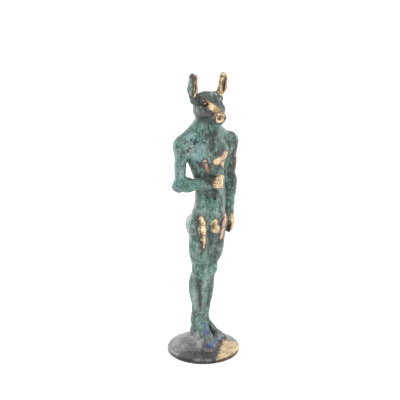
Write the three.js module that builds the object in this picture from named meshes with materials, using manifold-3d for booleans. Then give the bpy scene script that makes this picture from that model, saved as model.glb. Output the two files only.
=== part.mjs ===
// A standing minotaur cast in bronze in one piece with the low domed plinth under its feet.
// Millimetres, +Z up. The figure faces -Y, so its right side is at -X.

import * as THREE from 'three';
import Module from 'manifold-3d';
import { mergeVertices } from 'three/addons/utils/BufferGeometryUtils.js';

// Driving dimensions
const PLINTH_RADIUS = 19.5;
const RIM_HEIGHT = 1.9;
const RIM_ROUNDING = 0.95;
const DOME_HEIGHT = 5.6;
const MOUND_HEIGHT = 7.4;
const FIGURE_HEIGHT = 143;

// How finely the form is sampled, and how many triangles describe it in the end
const SAMPLE_STEP = 0.85;
const TRIANGLE_COUNT = 8800;

// The form is looked for on a coarse grid, this far out and up in heights of the figure
const SEARCH_STEP = 3;
const SEARCH_REACH = 0.4;
const SEARCH_TOP = 1.3;

// While the skin is thinned out: the pull to an edge's middle, and the least turn and size of a triangle
const EDGE_HOLD = 0.002;
const LEAST_FACING = 0.35;
const LEAST_AREA = 0.02;

// The form runs on this far below the ground, where it is cut flat
const SPARE_BELOW = 1;

// The figure is drawn 143 units tall with its soles at 0, and everything on it keeps that scale.
const DRAWN_HEIGHT = 143;
const UNIT = FIGURE_HEIGHT / DRAWN_HEIGHT;
const SOLE_LEVEL = MOUND_HEIGHT - 0.4;
const MIDLINE = 1.2;

const RIGHT = -1;
const LEFT = 1;
const SIDES = [RIGHT, LEFT];

// Forms. Each is a function of a point that gives its distance from the surface, negative inside.

function limb(start, end, startRadius, endRadius) {
  const [ax, ay, az] = start;
  const dx = end[0] - ax;
  const dy = end[1] - ay;
  const dz = end[2] - az;
  const lengthSquared = dx * dx + dy * dy + dz * dz;
  return (x, y, z) => {
    const along = ((x - ax) * dx + (y - ay) * dy + (z - az) * dz) / lengthSquared;
    const t = Math.min(Math.max(along, 0), 1);
    const gx = x - ax - t * dx;
    const gy = y - ay - t * dy;
    const gz = z - az - t * dz;
    return Math.sqrt(gx * gx + gy * gy + gz * gz) - startRadius - t * (endRadius - startRadius);
  };
}

function egg(centre, radii, degrees = [0, 0, 0]) {
  const [rx, ry, rz] = radii;
  return within(centre, degrees, (x, y, z) => {
    const ux = x / rx;
    const uy = y / ry;
    const uz = z / rz;
    const reach = Math.sqrt(ux * ux + uy * uy + uz * uz);
    const slope = Math.sqrt((ux / rx) ** 2 + (uy / ry) ** 2 + (uz / rz) ** 2);
    return slope > 0 ? (reach * (reach - 1)) / slope : -Math.min(rx, ry, rz);
  });
}

function within(origin, degrees, form) {
  const turn = degrees.map(THREE.MathUtils.degToRad);
  const matrix = new THREE.Matrix4().makeRotationFromEuler(new THREE.Euler(...turn, 'ZYX'));
  const [a, b, c, , d, e, f, , g, h, i] = matrix.elements;
  const [ox, oy, oz] = origin;
  return (x, y, z) => {
    const px = x - ox;
    const py = y - oy;
    const pz = z - oz;
    return form(a * px + b * py + c * pz, d * px + e * py + f * pz, g * px + h * py + i * pz);
  };
}

function softMin(p, q, softness) {
  const overlap = Math.max(softness - Math.abs(p - q), 0);
  return Math.min(p, q) - (overlap * overlap) / (4 * softness);
}

function blend(softness, ...forms) {
  return (x, y, z) => {
    let nearest = forms[0](x, y, z);
    for (let n = 1; n < forms.length; n += 1) {
      nearest = softMin(nearest, forms[n](x, y, z), softness);
    }
    return nearest;
  };
}

function carve(softness, body, ...cuts) {
  return (x, y, z) => {
    let depth = -body(x, y, z);
    for (const cut of cuts) {
      depth = softMin(depth, cut(x, y, z), softness);
    }
    return -depth;
  };
}

function scaled(scale, form) {
  return (x, y, z) => scale * form(x / scale, y / scale, z / scale);
}

const plus = (point, dx, dy, dz) => [point[0] + dx, point[1] + dy, point[2] + dz];
const between = (from, to, share) => from.map((value, n) => value + (to[n] - value) * share);

// The body, in drawn units

function torso() {
  const ribs = egg([MIDLINE + 0.2, -1.6, 99.5], [9.6, 7, 12], [4, 0, 0]);
  const shoulders = egg([MIDLINE, -0.2, 104.5], [12, 6, 6.5]);
  const waist = egg([MIDLINE + 1.3, -2.2, 83], [8, 6, 15]);
  const pelvis = egg([MIDLINE + 0.8, -1.3, 67.5], [10, 7, 8.5]);
  const belly = egg([MIDLINE + 0.2, -4.6, 75.5], [6.6, 4.2, 9]);
  const core = blend(5, ribs, shoulders, waist, pelvis, belly);
  const back = SIDES.flatMap((side) => [
    limb([MIDLINE + side * 9.4, 0.4, 105], [MIDLINE + side * 4.2, -0.2, 88], 3.3, 1.2),
    egg([MIDLINE + side * 5.6, 3.9, 101.5], [4.6, 2.8, 6], [0, 0, side * -14]),
  ]);
  const pecs = SIDES.map((side) => egg([MIDLINE + side * 5, -5.9, 103], [5.8, 2.7, 4.6], [10, 0, side * 18]));
  const buttocks = SIDES.map((side) => egg([MIDLINE + side * 4.7, 3, 63.9], [5.1, 4.8, 5.5]));
  const fleshed = blend(2.2, blend(2.6, blend(2, core, ...back), ...pecs), ...buttocks);
  return carve(1.2, fleshed, ...torsoFurrows());
}

function torsoFurrows() {
  const breastbone = limb([MIDLINE, -9.6, 106.5], [MIDLINE, -9.2, 92], 0.55, 0.4);
  const spine = limb([MIDLINE, 7.4, 105], [MIDLINE, 6.2, 73], 0.7, 0.7);
  const cleft = limb([MIDLINE, 8.6, 68], [MIDLINE, 6.5, 59.5], 0.6, 0.8);
  const navel = egg([MIDLINE + 0.3, -9.1, 79.5], [0.45, 0.9, 0.6]);
  const groins = SIDES.map((side) =>
    limb([MIDLINE + side * 9.4, -6.4, 70.5], [MIDLINE + side * 2.2, -8.2, 62.5], 0.5, 0.5));
  const chestFolds = SIDES.map((side) =>
    limb([MIDLINE + side * 3.4, -8.9, 97.6], [MIDLINE + side * 8.4, -6.4, 97.4], 0.5, 0.6));
  return [breastbone, spine, cleft, navel, ...groins, ...chestFolds];
}

function neck() {
  const column = limb([MIDLINE + 0.9, -0.4, 107], [MIDLINE + 0.9, -1.8, 122], 7, 6.6);
  const slopes = SIDES.map((side) =>
    limb([MIDLINE + side * 2.5, 0.8, 114.5], [MIDLINE + side * 13.2, 0.4, 107.2], 4.8, 4.1));
  return blend(3, column, ...slopes);
}

function groin() {
  const pouch = egg([MIDLINE + 0.8, -8.5, 62.8], [3, 1.9, 2.8]);
  const member = limb([MIDLINE + 0.3, -9.2, 65.6], [MIDLINE + 0.3, -10.2, 62.4], 1.1, 0.95);
  return blend(0.8, pouch, member);
}

function thigh(hip, knee, side) {
  const middle = between(knee, hip, 0.55);
  const bone = limb(hip, plus(knee, 0, 0, 4), 5.3, 3.6);
  const front = egg(plus(middle, side * 0.4, -1.4, 1.5), [4.5, 4.4, 11.5]);
  const rear = egg(plus(middle, 0, 1.8, -1), [4.3, 3.8, 10.5]);
  const joint = egg(knee, [3.9, 3.9, 5]);
  const kneecap = egg(plus(knee, 0, -2.4, 0), [2.7, 2.1, 3.2]);
  return blend(2.5, bone, front, rear, joint, kneecap);
}

function shin(knee, ankle, heel, side) {
  const bone = limb(knee, ankle, 3.6, 2.8);
  const calf = egg(plus(between(knee, ankle, 0.36), side * 0.5, 1.6, 0), [4.2, 3.5, 10], [-4, 0, 0]);
  const tendon = limb(plus(ankle, 0, 0, 3), heel, 2.1, 2.2);
  return blend(2, bone, calf, tendon);
}

function foot(ankle, heel, toe) {
  const ball = [...between(toe, ankle, 0.22).slice(0, 2), toe[2] + 0.4];
  const sole = limb(heel, ball, 2.4, 2.1);
  const front = limb(ball, toe, 2.2, 1.6);
  const instep = limb(plus(ankle, 0, 0, -1.4), plus(ball, 0, 0, 0.1), 2.4, 1.5);
  return blend(1.8, sole, front, instep);
}

function leg(hip, knee, ankle, toe, side) {
  const stride = new THREE.Vector2(ankle[0] - toe[0], ankle[1] - toe[1]).setLength(2.2);
  const heel = [ankle[0] + stride.x, ankle[1] + stride.y, 1.8];
  return blend(2, thigh(hip, knee, side), shin(knee, ankle, heel, side), foot(ankle, heel, toe));
}

function arm(shoulder, elbow, wrist, side) {
  const deltoid = egg(plus(shoulder, side * -0.4, 0, -0.6), [3.9, 4.2, 6.2], [0, side * 12, 0]);
  const upper = limb(shoulder, elbow, 3.2, 1.9);
  const biceps = egg(plus(between(elbow, shoulder, 0.45), 0, -0.7, 0), [2.2, 2.9, 6]);
  const joint = egg(plus(elbow, side * 0.4, 0.2, -0.6), [2.5, 2.7, 2.3]);
  const forearm = limb(elbow, wrist, 3.1, 2.5);
  const flesh = egg(between(elbow, wrist, 0.28), [2.8, 2.9, 3.5]);
  return blend(2.6, deltoid, upper, biceps, joint, forearm, flesh);
}

function fist() {
  const palm = egg([0, 0, 0], [2.6, 2.1, 3.4]);
  const fingers = [0, 1, 2, 3].map((n) => egg([-0.6, -1.2, 1.9 - 1.25 * n], [2, 1.1, 0.75]));
  const thumb = limb([1.2, -1.4, 2.2], [-0.6, -2, 2.7], 0.85, 0.7);
  return blend(0.7, palm, ...fingers, thumb);
}

function openHand() {
  const palm = egg([0, 0, 1], [2.1, 2.8, 4]);
  const fingers = [0, 1, 2, 3].map((n) =>
    limb([0.1, 1.15 * n - 1.7, -1.2], [-0.9, n - 1.3, -4.6 + 0.2 * Math.abs(n - 1.5)], 0.85, 0.65));
  const thumb = limb([-0.3, -2.5, 1.4], [-0.9, -3, -2.6], 0.9, 0.7);
  return blend(0.8, palm, ...fingers, thumb);
}

function rightArm() {
  const bent = arm([-12.9, 0.2, 106], [-13.9, 0.8, 86.1], [-1.2, -10, 87.6], RIGHT);
  return blend(1.2, bent, within([1.2, -12.3, 89], [0, 0, 10], scaled(1.2, fist())));
}

function leftArm() {
  const hanging = arm([16.6, 0.3, 106], [17.2, 1.2, 86], [15.2, -1.2, 69], LEFT);
  const joined = limb([12.8, 0.4, 98], [11.8, -0.2, 86], 2.4, 1.6);
  return blend(1.6, hanging, within([15.4, -1.9, 63], [6, 2, 0], openHand()), joined);
}

// The bull's head, in drawn units about the middle of the skull

function face() {
  const skull = egg([0, 0, 0], [7, 6.8, 6.4]);
  const jowls = SIDES.map((side) => egg([side * 3.6, -1.8, -3.6], [3.4, 4.4, 3.8]));
  const muzzle = limb([0, -4.5, -1], [0, -12.4, -2.6], 5, 3);
  const jaw = limb([0, -3, -5.6], [0, -11.4, -5.8], 3.4, 1.9);
  const nose = egg([0, -13.4, -2.6], [3.3, 2.2, 2.9]);
  const cheeks = SIDES.map((side) => egg([side * 4.4, -6.4, -1], [2.3, 3.2, 3.3]));
  const crown = limb([-4.6, -0.6, 4.7], [4.6, -0.6, 4.7], 1.9, 1.9);
  const brows = SIDES.map((side) => limb([side * 1.4, -5.8, 4], [side * 5.8, -3.6, 3.8], 1.2, 1.3));
  const mass = blend(2.6, skull, ...jowls, ...cheeks, muzzle, jaw);
  return blend(1, blend(1.4, mass, nose, crown), ...brows);
}

function faceCuts() {
  return SIDES.flatMap((side) => [
    egg([side * 4.9, -6, 2.3], [1.5, 1.4, 1]),
    egg([side * 1.7, -15.2, -2.2], [0.8, 0.9, 0.7]),
    limb([0, -15, -4.9], [side * 3.6, -11, -4.6], 0.35, 0.35),
    limb([side * 3.6, -11, -4.6], [side * 4.8, -6, -3.6], 0.35, 0.3),
  ]);
}

function horn(side) {
  const root = [side * 7.2 - 0.5, 0.8, 2];
  const middle = [side * 8.6 - 0.4, 0.6, 8];
  const tip = [side * 8.7 - 1.1, 0.2, 13.9];
  const shaft = blend(1.2, limb(root, middle, 1.9, 2.4), limb(middle, tip, 2.4, 2.3));
  const hollow = egg([side * 8.4 - 0.6, -2.3, 9.2], [0.95, 1.8, 6.2], [0, side * 2, 0]);
  return carve(0.6, shaft, hollow);
}

function bullHead() {
  const eyes = SIDES.map((side) => egg([side * 4.7, -5.5, 2.3], [1.1, 1, 0.8]));
  const cut = carve(0.6, face(), ...faceCuts());
  return blend(1.2, blend(0.3, cut, ...eyes), horn(RIGHT), horn(LEFT));
}

function figure() {
  const head = within([MIDLINE - 0.4, -1.8, 127.2], [14, 0, 2], bullHead());
  const trunk = blend(0.8, blend(1.2, blend(2, torso(), neck()), head), groin());
  const rightLeg = leg([-4, -1.4, 63.5], [-3.1, -1.4, 39.5], [-2.5, 3.2, 9.6], [-2.5, -10.6, -0.6], RIGHT);
  const leftLeg = leg([7.8, -1.2, 63.5], [4.2, 1, 39.5], [3, 5, 9.6], [9.6, -5.6, -0.4], LEFT);
  const upperJoin = limb([1.4, -0.6, 57], [0.6, -0.3, 38], 3, 2.8);
  const lowerJoin = limb([0.6, -0.3, 38], [0.3, 4, 10], 2.8, 2.2);
  const footJoin = limb([0.3, 4, 10], [1.4, -3.6, 1], 2.2, 2);
  const legs = blend(1.2, rightLeg, leftLeg, upperJoin, lowerJoin, footJoin);
  const body = blend(3.2, trunk, legs);
  return blend(2.6, blend(1.6, body, rightArm()), leftArm());
}

// The plinth: a rounded rim, a low dome on it, and the mound that the feet melt into

function rim() {
  const flatRadius = PLINTH_RADIUS - RIM_ROUNDING;
  const flatTop = RIM_HEIGHT - RIM_ROUNDING;
  return (x, y, z) => {
    const out = Math.max(Math.sqrt(x * x + y * y) - flatRadius, 0);
    const up = Math.max(z - flatTop, 0);
    const inside = Math.min(Math.max(Math.sqrt(x * x + y * y) - flatRadius, z - flatTop), 0);
    return Math.sqrt(out * out + up * up) + inside - RIM_ROUNDING;
  };
}

function plinth() {
  const footLevel = RIM_HEIGHT / 2;
  const domeRadius = PLINTH_RADIUS - RIM_ROUNDING;
  const dome = egg([0, 0, footLevel], [domeRadius, domeRadius, DOME_HEIGHT - footLevel]);
  const moundRadii = [0.5 * PLINTH_RADIUS, 0.65 * PLINTH_RADIUS, MOUND_HEIGHT - footLevel];
  const mound = egg([0.8, -1.5, footLevel], moundRadii);
  return blend(2, dome, rim(), mound);
}

function statuette() {
  const standing = within([0, 0, SOLE_LEVEL], [0, 0, 0], scaled(UNIT, figure()));
  const whole = blend(3, standing, plinth());
  return (x, y, z) => Math.max(whole(x, y, z), -z - SPARE_BELOW);
}

// Surfacing. Each cube of the grid is six tetrahedra about one diagonal, so the skin is always closed.

const CUBE_TETRAHEDRA = [[0, 1, 3, 7], [0, 2, 6, 7], [0, 4, 5, 7], [0, 3, 2, 7], [0, 6, 4, 7], [0, 5, 1, 7]];

function extent(form, room, step) {
  const held = new THREE.Box3();
  const spot = new THREE.Vector3();
  for (spot.z = room.min.z; spot.z <= room.max.z; spot.z += step) {
    for (spot.y = room.min.y; spot.y <= room.max.y; spot.y += step) {
      for (spot.x = room.min.x; spot.x <= room.max.x; spot.x += step) {
        if (form(spot.x, spot.y, spot.z) < step) held.expandByPoint(spot);
      }
    }
  }
  return held.expandByScalar(step);
}

function isOdd(order) {
  let swaps = 0;
  for (let i = 0; i < 4; i += 1) {
    for (let j = i + 1; j < 4; j += 1) {
      swaps += order[i] > order[j] ? 1 : 0;
    }
  }
  return swaps % 2 === 1;
}

// For each pattern of inside corners, the triangles as pairs of the corners whose edge each point is on
function tetrahedronCases() {
  return Array.from({ length: 16 }, (_, pattern) => {
    const corners = [0, 1, 2, 3];
    const inner = corners.filter((n) => pattern & (1 << n));
    const outer = corners.filter((n) => !inner.includes(n));
    if (inner.length === 0 || outer.length === 0) {
      return [];
    }
    const [a, b, c, d] = inner.length === 3 ? [...outer, ...inner] : [...inner, ...outer];
    const [e, f] = isOdd([a, b, c, d]) ? [d, c] : [c, d];
    if (inner.length === 2) {
      return [[[a, e], [a, f], [b, f]], [[a, e], [b, f], [b, e]]];
    }
    return inner.length === 1 ? [[[a, b], [a, e], [a, f]]] : [[[a, b], [a, f], [a, e]]];
  });
}

function sampleGrid(form, box, step) {
  const size = box.getSize(new THREE.Vector3()).divideScalar(step).ceil().addScalar(1);
  const values = new Float64Array(size.x * size.y * size.z);
  let n = 0;
  for (let k = 0; k < size.z; k += 1) {
    for (let j = 0; j < size.y; j += 1) {
      for (let i = 0; i < size.x; i += 1) {
        values[n] = form(box.min.x + i * step, box.min.y + j * step, box.min.z + k * step);
        n += 1;
      }
    }
  }
  return { values, size, step, origin: box.min };
}

function surface(form, box, step) {
  const { values, size } = sampleGrid(form, box, step);
  const cases = tetrahedronCases();
  const offsets = [0, 1, 2, 3, 4, 5, 6, 7].map((n) =>
    (n & 1) + ((n >> 1) & 1) * size.x + (n >> 2) * size.x * size.y);
  const points = [];
  const faces = [];
  const known = new Map();

  const place = (node) => [
    box.min.x + (node % size.x) * step,
    box.min.y + (Math.floor(node / size.x) % size.y) * step,
    box.min.z + Math.floor(node / (size.x * size.y)) * step,
  ];
  const crossing = (p, q) => {
    const low = Math.min(p, q);
    const high = Math.max(p, q);
    const key = low * values.length + high;
    if (!known.has(key)) {
      const share = THREE.MathUtils.clamp(values[low] / (values[low] - values[high]), 0.1, 0.9);
      known.set(key, points.push(between(place(low), place(high), share)) - 1);
    }
    return known.get(key);
  };

  for (let k = 0; k < size.z - 1; k += 1) {
    for (let j = 0; j < size.y - 1; j += 1) {
      for (let i = 0; i < size.x - 1; i += 1) {
        const node = i + size.x * (j + size.y * k);
        const insideCount = offsets.filter((offset) => values[node + offset] < 0).length;
        if (insideCount === 0 || insideCount === offsets.length) {
          continue;
        }
        for (const tetrahedron of CUBE_TETRAHEDRA) {
          const corners = tetrahedron.map((n) => node + offsets[n]);
          const pattern = corners.reduce((sum, at, n) => sum + (values[at] < 0 ? 1 << n : 0), 0);
          for (const triangle of cases[pattern]) {
            faces.push(triangle.map(([p, q]) => crossing(corners[p], corners[q])));
          }
        }
      }
    }
  }
  return { points, faces };
}

// Thinning out. Edges are collapsed where that moves the surface least, by the squared distances to
// the planes of the triangles round each vertex.

function planeQuadric([a, b, c]) {
  const normal = triangleNormal(a, b, c);
  const area = normal.length() / 2;
  normal.normalize();
  const { x, y, z } = normal;
  const w = -(x * a[0] + y * a[1] + z * a[2]);
  const entries = [x * x, x * y, x * z, x * w, y * y, y * z, y * w, z * z, z * w, w * w];
  return entries.map((entry) => entry * area);
}

function quadricError(q, [x, y, z]) {
  const squares = q[0] * x * x + q[4] * y * y + q[7] * z * z + q[9];
  return squares + 2 * (q[1] * x * y + q[2] * x * z + q[5] * y * z + q[3] * x + q[6] * y + q[8] * z);
}

// The point of least error, held lightly to the middle of the edge where the surface is flat
function bestSpot(q, middle, hold) {
  const matrix = new THREE.Matrix3(
    q[0] + hold, q[1], q[2],
    q[1], q[4] + hold, q[5],
    q[2], q[5], q[7] + hold,
  );
  const [x, y, z] = middle.map((value) => value * hold);
  return new THREE.Vector3(x - q[3], y - q[6], z - q[8]).applyMatrix3(matrix.invert()).toArray();
}

// A list kept so that the cheapest entry is always first
class Queue {
  entries = [];

  push(entry) {
    const { entries } = this;
    let n = entries.push(entry) - 1;
    while (n > 0) {
      const parent = (n - 1) >> 1;
      if (entries[parent].cost <= entries[n].cost) {
        break;
      }
      [entries[parent], entries[n]] = [entries[n], entries[parent]];
      n = parent;
    }
  }

  pop() {
    const { entries } = this;
    const first = entries[0];
    const last = entries.pop();
    if (entries.length > 0) {
      entries[0] = last;
      this.sink();
    }
    return first;
  }

  sink() {
    const { entries } = this;
    let n = 0;
    for (;;) {
      const left = 2 * n + 1;
      const right = left + 1;
      let least = n;
      if (left < entries.length && entries[left].cost < entries[least].cost) {
        least = left;
      }
      if (right < entries.length && entries[right].cost < entries[least].cost) {
        least = right;
      }
      if (least === n) {
        return;
      }
      [entries[least], entries[n]] = [entries[n], entries[least]];
      n = least;
    }
  }
}

function triangleNormal(a, b, c) {
  const [ux, uy, uz] = [b[0] - a[0], b[1] - a[1], b[2] - a[2]];
  const [vx, vy, vz] = [c[0] - a[0], c[1] - a[1], c[2] - a[2]];
  return new THREE.Vector3(uy * vz - uz * vy, uz * vx - ux * vz, ux * vy - uy * vx);
}

class Skin {
  constructor({ points, faces }) {
    this.points = points;
    this.faces = faces;
    this.count = faces.length;
    this.age = new Int32Array(points.length);
    this.around = points.map(() => new Set());
    this.quadrics = points.map(() => new Array(10).fill(0));
    faces.forEach((face, index) => this.addFace(face, index));
  }

  addFace(face, index) {
    const corners = face.map((vertex) => this.points[vertex]);
    const quadric = planeQuadric(corners);
    for (const vertex of face) {
      this.around[vertex].add(index);
      this.quadrics[vertex] = this.quadrics[vertex].map((entry, n) => entry + quadric[n]);
    }
  }

  neighbours(vertex) {
    const near = new Set();
    for (const index of this.around[vertex]) {
      this.faces[index].forEach((other) => near.add(other));
    }
    near.delete(vertex);
    return near;
  }

  proposal(u, v) {
    const quadric = this.quadrics[u].map((entry, n) => entry + this.quadrics[v][n]);
    const spot = bestSpot(quadric, between(this.points[u], this.points[v], 0.5), EDGE_HOLD);
    return { u, v, spot, cost: quadricError(quadric, spot), stamp: this.age[u] + this.age[v] };
  }

  isCurrent({ u, v, stamp }) {
    const alive = this.around[u].size > 0 && this.around[v].size > 0;
    return alive && this.age[u] + this.age[v] === stamp;
  }

  // A collapse keeps the skin closed when the two ends share just the two corners beside their edge.
  keepsClosed(u, v) {
    const near = this.neighbours(v);
    const shared = [...this.neighbours(u)].filter((vertex) => near.has(vertex));
    return shared.length === 2;
  }

  keepsFacing(moved, other, spot) {
    for (const index of this.around[moved]) {
      const face = this.faces[index];
      if (face.includes(other)) {
        continue;
      }
      const before = triangleNormal(...face.map((n) => this.points[n]));
      const after = triangleNormal(...face.map((n) => (n === moved ? spot : this.points[n])));
      const facing = before.dot(after) / (before.length() * after.length());
      if (!(facing >= LEAST_FACING) || after.length() < LEAST_AREA) {
        return false;
      }
    }
    return true;
  }

  allows({ u, v, spot }) {
    return this.keepsClosed(u, v) && this.keepsFacing(u, v, spot) && this.keepsFacing(v, u, spot);
  }

  collapse({ u, v, spot }) {
    for (const index of [...this.around[v]]) {
      const face = this.faces[index];
      if (face.includes(u)) {
        face.forEach((vertex) => this.around[vertex].delete(index));
        this.faces[index] = null;
        this.count -= 1;
      } else {
        this.faces[index] = face.map((vertex) => (vertex === v ? u : vertex));
        this.around[u].add(index);
      }
    }
    this.around[v].clear();
    this.points[u] = spot;
    this.quadrics[u] = this.quadrics[u].map((entry, n) => entry + this.quadrics[v][n]);
    this.age[u] += 1;
  }
}

function thinned(mesh, triangleCount) {
  const skin = new Skin(mesh);
  const queue = new Queue();
  skin.points.forEach((_, u) => {
    [...skin.neighbours(u)].filter((v) => v > u).forEach((v) => queue.push(skin.proposal(u, v)));
  });
  while (skin.count > triangleCount && queue.entries.length > 0) {
    const step = queue.pop();
    if (skin.isCurrent(step) && skin.allows(step)) {
      skin.collapse(step);
      skin.neighbours(step.u).forEach((v) => queue.push(skin.proposal(step.u, v)));
    }
  }
  return { points: skin.points, faces: skin.faces.filter((face) => face !== null) };
}

function toGeometry({ points, faces }) {
  const geometry = new THREE.BufferGeometry();
  geometry.setAttribute('position', new THREE.Float32BufferAttribute(points.flat(), 3));
  geometry.setIndex(faces.flat());
  return geometry;
}

// Cutting the underside flat

function toSolid(wasm, geometry) {
  const bare = geometry.clone();
  bare.deleteAttribute('normal');
  bare.deleteAttribute('uv');
  const merged = mergeVertices(bare);
  return new wasm.Manifold(new wasm.Mesh({
    numProp: 3,
    vertProperties: new Float32Array(merged.attributes.position.array),
    triVerts: new Uint32Array(merged.index.array),
  }));
}

function fromSolid(solid) {
  const { vertProperties, triVerts } = solid.getMesh();
  const geometry = new THREE.BufferGeometry();
  geometry.setAttribute('position', new THREE.Float32BufferAttribute(vertProperties, 3));
  geometry.setIndex([...triVerts]);
  geometry.computeVertexNormals();
  return geometry;
}

const wasm = await Module();
wasm.setup();

const form = statuette();
const reach = PLINTH_RADIUS + SEARCH_REACH * FIGURE_HEIGHT;
const top = SOLE_LEVEL + SEARCH_TOP * FIGURE_HEIGHT;
const lowest = new THREE.Vector3(-reach, -reach, -SEARCH_STEP);
const room = new THREE.Box3(lowest, new THREE.Vector3(reach, reach, top));
const skin = thinned(surface(form, extent(form, room, SEARCH_STEP), SAMPLE_STEP), TRIANGLE_COUNT);

const ground = new THREE.BoxGeometry(4 * reach, 4 * reach, 4 * SPARE_BELOW);
ground.translate(0, 0, -2 * SPARE_BELOW);

const bronze = new THREE.MeshStandardMaterial({ color: 0x5f8478, roughness: 0.62, metalness: 0.55 });
const standing = toSolid(wasm, toGeometry(skin)).subtract(toSolid(wasm, ground));
const statue = new THREE.Mesh(fromSolid(standing), bronze);
statue.name = 'minotaur_statuette';

const model = new THREE.Group();
model.add(statue);

export default model;
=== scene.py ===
import math

import bpy
import numpy as np
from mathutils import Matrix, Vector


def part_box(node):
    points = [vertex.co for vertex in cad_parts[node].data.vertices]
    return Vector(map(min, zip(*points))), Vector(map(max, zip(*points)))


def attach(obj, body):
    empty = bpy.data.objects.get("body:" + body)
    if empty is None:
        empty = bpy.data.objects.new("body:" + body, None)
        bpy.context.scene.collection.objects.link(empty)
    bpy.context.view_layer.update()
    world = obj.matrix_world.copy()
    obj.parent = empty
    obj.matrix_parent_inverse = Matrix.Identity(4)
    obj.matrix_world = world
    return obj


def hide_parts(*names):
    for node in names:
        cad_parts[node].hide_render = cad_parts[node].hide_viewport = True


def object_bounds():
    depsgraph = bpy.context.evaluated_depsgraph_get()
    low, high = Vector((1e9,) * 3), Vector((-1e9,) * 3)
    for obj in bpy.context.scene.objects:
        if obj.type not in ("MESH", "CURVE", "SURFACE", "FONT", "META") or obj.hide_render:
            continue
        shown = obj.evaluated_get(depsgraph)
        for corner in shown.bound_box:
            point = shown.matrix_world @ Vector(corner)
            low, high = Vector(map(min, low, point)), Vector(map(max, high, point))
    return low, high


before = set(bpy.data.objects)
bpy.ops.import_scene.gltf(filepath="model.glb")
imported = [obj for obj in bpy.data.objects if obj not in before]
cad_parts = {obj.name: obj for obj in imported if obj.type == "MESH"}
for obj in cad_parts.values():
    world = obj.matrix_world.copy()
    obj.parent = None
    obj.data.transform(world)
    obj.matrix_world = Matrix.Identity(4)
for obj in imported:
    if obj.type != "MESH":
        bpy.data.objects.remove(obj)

cad_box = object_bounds()

NODE = "minotaur_statuette"
MM = 0.001

# Driving dimensions, in millimetres, as the solid was built
PLINTH_RADIUS = 19.5
RIM_HEIGHT = 1.9
RIM_ROUNDING = 0.95
DOME_HEIGHT = 5.6
MOUND_HEIGHT = 7.4
SOLE_SINK = 0.4
SOLE_LEVEL = MOUND_HEIGHT - SOLE_SINK
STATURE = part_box(NODE)[1][2] / MM
DRAWN_HEIGHT = 143.0
UNIT = (STATURE - SOLE_LEVEL) / DRAWN_HEIGHT
MIDLINE = 1.2
RIGHT, LEFT = -1, 1
SIDES = (RIGHT, LEFT)

# The sampling of the skin, in millimetres
FINE_STEP = 0.43
MARGIN = 2.0
SLOPE_REACH = 0.08
HOLLOW_REACH = 1.3

# Fine steps in a coarse one, how many coarse steps from the surface count as near, rounds of
# settling on the surface, and points taken at a time
COARSE = 4
NEAR = 1.4
SETTLE_ROUNDS = 2
CHUNK = 120000

# The relief of the cast and corroded skin, in millimetres, and the levels between which it comes in
LUMP_SIZE = 2.8
LUMP_DEPTH = 0.10
HEAD_LUMP_DEPTH = 0.20
HEAD_LEVELS = (126, 132)
PIT_SIZE = 1.3
PIT_DEPTH = 0.10
PIT_LEVELS = (0.25, 0.8)
PIT_SHIFT = 40
GRAIN_SIZE = 0.7
GRAIN_DEPTH = 0.035
GRAIN_SHIFT = 90
WORN_LEVELS = (-0.6, 0.5)
FLAT_LEVELS = (0.1, 1.2)

# A noise's smooth random values come from mixing a corner's whole numbers with these
LATTICE_X, LATTICE_Y, LATTICE_Z = 73856093, 19349663, 83492791
LATTICE_MIX = 1274126177
LATTICE_MASK = 0x7FFFFFFF
LATTICE_LEVELS = 65536
LATTICE_SHIFT = 512

# Grains of the patina: size in millimetres, detail and roughness. Some are drawn out upwards.
BROAD = (8.0, 2.0, 0.55)
CLOUD = (5.0, 3.0, 0.6)
MOTTLE = (2.2, 5.0, 0.66)
FLAKE = (0.9, 4.0, 0.75)
SPECK = (0.62, 3.0, 0.7)
GRAIN = (0.28, 2.0, 0.6)
STREAK = (1, 1, 0.62)

# How much each grain counts: cloud to speck in the tone, and mottle to the finest in the bumps
TONE_SHARES = (0.25, 0.25, 0.30, 0.20)
BUMP_SHARES = (0.6, 0.6, 0.5, 0.16)
BUMP_STRENGTH = 0.75
BUMP_DEPTH = 0.5

# The coat of wax
WAX = 0.25
WAX_ROUGHNESS = 0.22

# Levels of the grain, or of hollowness, between which each colour comes in
EMERALD_PATCHES = (0.46, 0.60)
SOOTY_PATCHES = (0.50, 0.60)
MIDDLE_TONES = (0.44, 0.50)
HIGH_TONES = (0.525, 0.575)
BLUE_TONES = (0.44, 0.55)
GOLD_TONES = (0.42, 0.56)
COPPER_TONES = (0.43, 0.55)
FLECKS = (0.41, 0.35)
FLECK_SOOT = (0.46, 0.54)
# The mottle levels at which painted shade turns from near-black to umber
PAINTED_SHADE_MOTTLE = (0.52, 0.62)
GLINTS = (0.60, 0.66)
GRIMY_MOTTLE = (0.47, 0.33)
GRIMY_HOLLOWS = (0.20, 1.0)
BROWN_SPECKS = (0.64, 0.46)
METAL_SPECKS = (0.43, 0.31)
METAL_HOLLOWS = (0.20, 0.7)

# Edges of the worn metal: its dark border, the bare metal, and where copper takes over from gold
METAL_BORDER = (1.15, 0.25)
METAL_EDGE = (0.12, -0.14)
COPPER_EDGE = (-0.2, 0.3)

# Roughness from low grain to high, and how metallic the skin is
GREEN_ROUGHNESS = (0.56, 0.40)
DARK_ROUGHNESS = (0.52, 0.38)
METAL_ROUGHNESS = (0.40, 0.18)
STONE_ROUGHNESS = 0.33
GREEN_METAL = 0.10
DARK_METAL = 0.06
STONE_METAL = 0.45
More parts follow.
